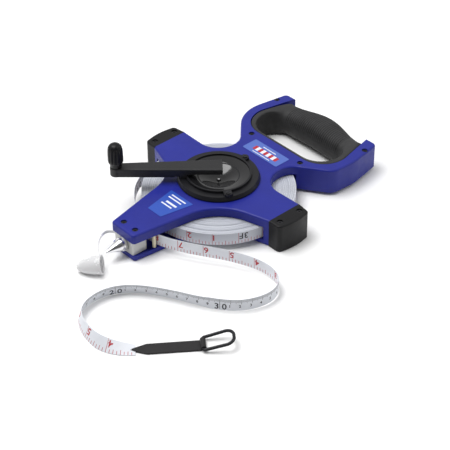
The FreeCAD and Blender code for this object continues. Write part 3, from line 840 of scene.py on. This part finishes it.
# Half height and middle height of the lining, and what the crowned middle of the bar adds to each
GRIP_HALF_HIGH, CROWN_HALF_HIGH = 14.85, 1.55
GRIP_MIDDLE, CROWN_MIDDLE = 15.35, 1.65
RIB_PITCH = 2.5
RIB_DEPTH = 0.8
RIB_REACH = 39.5
RIB_FADE = 2.0
RIB_BASE = 16.0


def rounded_outline(corners, steps=14):
    """Points along a polygon whose corners, x, y and radius, are rounded."""
    points = []
    count = len(corners)
    for i, (x, y, radius) in enumerate(corners):
        here = np.array((x, y))
        before = np.array(corners[i - 1][:2]) - here
        after = np.array(corners[(i + 1) % count][:2]) - here
        before, after = before / np.linalg.norm(before), after / np.linalg.norm(after)
        half = math.acos(float(np.clip(before @ after, -1, 1))) / 2
        middle = (before + after) / np.linalg.norm(before + after)
        centre = here + middle * radius / math.sin(half)
        start = here + before * radius / math.tan(half) - centre
        end = here + after * radius / math.tan(half) - centre
        first, last = math.atan2(start[1], start[0]), math.atan2(end[1], end[0])
        sweep = (last - first + math.pi) % (2 * math.pi) - math.pi
        for k in range(steps + 1):
            turn = first + sweep * k / steps
            points.append(centre + radius * np.array((math.cos(turn), math.sin(turn))))
    return np.array(points)


def reach(outline, origin, heading):
    """Distance from origin along heading to a closed outline."""
    start = outline - origin
    step = np.roll(outline, -1, axis=0) - outline
    cross = heading[0] * step[:, 1] - heading[1] * step[:, 0]
    cross[np.abs(cross) < 1e-12] = 1e-12
    far = (start[:, 0] * step[:, 1] - start[:, 1] * step[:, 0]) / cross
    share = (start[:, 0] * heading[1] - start[:, 1] * heading[0]) / cross
    return float(min(far[(share >= 0) & (share < 1) & (far > 0)]))


def smooth_step(value, low, high):
    """Ease from 0 at low to 1 at high."""
    share = min(1.0, max(0.0, (value - low) / (high - low)))
    return share * share * (3 - 2 * share)


def grip_stations():
    """Origins and headings of the grip's cross sections, once round the hand opening."""
    stations = [((GRIP_SPINE_X, y), 0.0) for y in np.linspace(-GRIP_SPINE_Y, GRIP_SPINE_Y, 205)]
    bends = list(np.linspace(0.5, 9.5, 19)) + list(np.linspace(12.5, 180.0, 66))
    stations += [((GRIP_SPINE_X, GRIP_SPINE_Y), angle) for angle in bends]
    stations += [((GRIP_SPINE_X, y), 180.0) for y in np.linspace(GRIP_SPINE_Y, -GRIP_SPINE_Y, 20)[1:-1]]
    stations += [((GRIP_SPINE_X, -GRIP_SPINE_Y), 360.0 - angle) for angle in reversed(bends)]
    return stations


def make_grip(paints):
    """Rubber loop round the hand opening: thin lining against the case, and a swollen ribbed hand bar."""
    inside, outside = rounded_outline(GRIP_INSIDE), rounded_outline(GRIP_OUTSIDE)
    stations = grip_stations()
    points = []
    for origin, angle in stations:
        heading = (math.cos(math.radians(angle)), math.sin(math.radians(angle)))
        near = reach(inside, np.array(origin), heading)
        far = reach(outside, np.array(origin), heading)
        turned = min(angle, 360.0 - angle)
        swell = 1.0 - smooth_step(turned, 14.0, 40.0)
        side = min(1.0, abs(origin[1] + heading[1] * (far + near) / 2) / GRIP_CROWN_REACH)
        crown = math.cos(math.pi / 2 * side) ** 2 if turned < 90.0 else 0.0
        far += GRIP_REAR_CROWN * crown
        half_wide, half_high = (far - near) / 2, GRIP_HALF_HIGH + CROWN_HALF_HIGH * crown
        middle, height = (far + near) / 2, GRIP_MIDDLE + CROWN_MIDDLE * crown
        power = 2 / (5.5 - 3.1 * swell)
        for k in range(GRIP_SECTION):
            turn = 2 * math.pi * (k + 0.5) / GRIP_SECTION
            c, s = math.cos(turn), math.sin(turn)
            wide = half_wide * math.copysign(abs(c) ** power, c)
            high = half_high * math.copysign(abs(s) ** power, s)
            smooth_y = origin[1] + heading[1] * (middle + wide)
            fade = swell * (1.0 - smooth_step(abs(smooth_y), RIB_REACH - RIB_FADE, RIB_REACH))
            fade = fade * smooth_step(s, 0.10, 0.42)
            dip = RIB_DEPTH * fade * (0.5 - 0.5 * math.cos(2 * math.pi * smooth_y / RIB_PITCH))
            shrink = 1.0 - dip / RIB_BASE
            across = middle + wide * shrink
            x, y = origin[0] + heading[0] * across, origin[1] + heading[1] * across
            points.append(mm(x, y, height + high * shrink))
    faces = grid_faces(len(stations), GRIP_SECTION, closed_rows=True, closed_columns=True)
    grip = mesh_object("rubber_grip", points, [tuple(reversed(face)) for face in faces], smooth=True)
    grip.data.set_sharp_from_angle(angle=math.radians(60))
    return finish_piece(grip, paints["rubber"], "frame", ["grip_upper", "grip_lower"])


# ---------------------------------------------------------------- hub bowl and label marks

BOWL_TOP = [
    (2.3, 27.9), (4.0, 27.95), (6.5, 28.4), (9.5, 29.4), (12.5, 30.6), (15.5, 31.9), (18.0, 33.0),
    (20.0, 33.9), (22.5, 34.75), (25.0, 35.35), (28.0, 36.0), (30.6, 36.5),
]
BOWL_UNDER = [(30.6, 36.3), (19.9, 33.2), (17.0, 29.8), (12.6, 27.4), (6.0, 26.1), (2.3, 26.0)]
BOWL_SEGMENTS = 128

# Height of the labels' faces; bars on the nose label as x, y from, y to, width
LABEL_TOP = 30.56 * MM
NOSE_LINES = [
    (-52.0, -10.0, 10.0, 1.6), (-56.0, -8.0, 10.0, 1.6), (-62.5, -8.5, 6.0, 2.4), (-67.0, -6.5, 8.0, 1.6),
]

# Rear label: the chequered bar's x and y limits and its blocks, and a plain bar on each side of it
REAR_BAR = (59.6, 66.0, -17.5, 15.5)
REAR_BLOCKS = 9
REAR_LINES = [(56.8, -12.0, 12.0, 0.9), (69.0, -9.0, 9.0, 0.9)]


def make_bowl(paints):
    """Polished bowl that runs out to the raised rim of the round plate."""
    points, faces = lathe_mesh([mm(r, z) for r, z in BOWL_TOP[::-1] + BOWL_UNDER[::-1]], BOWL_SEGMENTS)
    count = BOWL_SEGMENTS
    last = len(points) - count
    faces += [(last + k, last + (k + 1) % count, (k + 1) % count, k) for k in range(count)]
    bowl = mesh_object("polished_bowl", points, [tuple(reversed(face)) for face in faces], smooth=True)
    bowl.data.set_sharp_from_angle(angle=math.radians(40))
    return finish_piece(bowl, paints["bowl"], "reel", ["dish_bowl"])


def make_label_marks(paints):
    """Plain printed bars on the two labels, in place of words."""
    def place(x, y, out):
        return (x, y, LABEL_TOP + out)

    white, red = Print(place), Print(place)
    for x, y0, y1, wide in NOSE_LINES:
        white.bar(x * MM, wide * MM, y0 * MM, y1 * MM)
    x0, x1, y0, y1 = REAR_BAR
    step = (y1 - y0) / REAR_BLOCKS
    for i in range(REAR_BLOCKS):
        ink = red if i % 2 == 0 else white
        ink.bar((x0 + x1) / 2 * MM, (x1 - x0) * MM, (y0 + i * step) * MM, (y0 + (i + 1) * step) * MM)
    for x, y0, y1, wide in REAR_LINES:
        white.bar(x * MM, wide * MM, y0 * MM, y1 * MM)
    white.make("label_white_print", paints["white"], "frame", "label_blue")
    red.make("label_red_print", paints["red"], "frame", "label_blue")


# ---------------------------------------------------------------- crank knob

KNOB_DISTANCE = 100.3
CRANK_ANGLE = math.radians(139.0)
KNOB_PLACE = (KNOB_DISTANCE * math.cos(CRANK_ANGLE), KNOB_DISTANCE * math.sin(CRANK_ANGLE))
KNOB_PROFILE = [
    (0.0, 46.8), (5.4, 46.8), (5.8, 47.2), (5.9, 50.6), (6.3, 51.5), (7.1, 52.0), (7.6, 52.9), (7.65, 56.0),
    (7.6, 61.0), (7.5, 65.0), (7.3, 67.0), (6.9, 68.8), (6.2, 70.4), (5.2, 71.6), (3.9, 72.5), (2.4, 73.0),
    (0.0, 73.2),
]
FLUTES = 12
FLUTE_DEPTH = 0.85


def make_knob(paints):
    """Domed knob whose flutes run up its side and notch the edge of the dome."""
    segments = FLUTES * 12
    points, faces = lathe_mesh(KNOB_PROFILE, segments)
    shaped = []
    for x, y, z in points:
        r = math.hypot(x, y)
        angle = math.atan2(y, x)
        groove = max(0.0, math.cos(FLUTES * angle)) ** 1.4
        reach_up = smooth_step(z, 52.2, 54.0) * (1.0 - smooth_step(z, 69.0, 72.2))
        scale = 1.0 - FLUTE_DEPTH * groove * reach_up / max(r, 1e-6) if r > 1.0 else 1.0
        shaped.append(mm(KNOB_PLACE[0] + x * scale, KNOB_PLACE[1] + y * scale, z))
    knob = mesh_object("fluted_knob", shaped, faces, smooth=True)
    knob.data.set_sharp_from_angle(angle=math.radians(50))
    return finish_piece(knob, paints["cap"], "crank_knob", ["knob"])


# ---------------------------------------------------------------- everything

def paint_nodes(paints):
    """Give every CAD node its finished material."""
    finish = {
        "case": ["top_shell", "bottom_shell"],
        "cap": ["arm_cap_left", "arm_cap_right", "knob"],
        "hub": ["hub_disc", "dish_plate"],
        "arm": ["crank_arm"],
        "bowl": ["dish_bowl"],
        "rubber": ["grip_upper", "grip_lower"],
        "block": ["nose_block", "stake_collar"],
        "chrome": ["stake_point"],
        "steel": ["roller_pins", "axle", "knob_pin"],
        "screw": ["case_screws", "dish_screws"],
        "roller": ["outer_roller", "inner_roller", "thrust_washer"],
        "spool": ["spool"],
        # The label by the grip takes the paler blue that paints in its sheen.
        "label": ["nose_label"],
        "sheen_label": ["grip_label"],
        "sheath": ["end_sheath"],
        "ring": ["end_ring"],
        "clear": ["spike_cap", "cap_strap"],
    }
    for paint, names in finish.items():
        for name in names:
            data = nodes[name].data
            data.materials.clear()
            data.materials.append(paints[paint])


def main():
    """Build the visual model."""
    make_camera()
    paints = {
        "case": case_material(), "cap": cap_material(), "hub": hub_material(), "arm": arm_material(),
        "bowl": bowl_material(), "sheen_label": sheen_label_material(),
        "rubber": rubber_material(), "block": block_material(), "chrome": chrome_material(),
        "steel": steel_material(), "screw": screw_material(), "roller": roller_material(),
        "spool": spool_material(), "tape": tape_material(), "roll": roll_material(),
        "groove": groove_shade_material(), "label": label_material(), "sheath": sheath_material(),
        "ring": ring_material(), "clear": clear_material(),
        "red": ink_material("ink_red", (0.42, 0.012, 0.025)),
        "ink": ink_material("ink_black", (0.02, 0.02, 0.03)),
        "white": ink_material("ink_white", (0.72, 0.74, 0.82)),
    }
    paint_nodes(paints)
    strip, tape, printed = make_tape(paints)
    make_strap(paints, make_stake_cap(paints))
    make_roll(paints)
    make_grip(paints)
    make_bowl(paints)
    make_label_marks(paints)
    make_knob(paints)
    make_studio()


main()
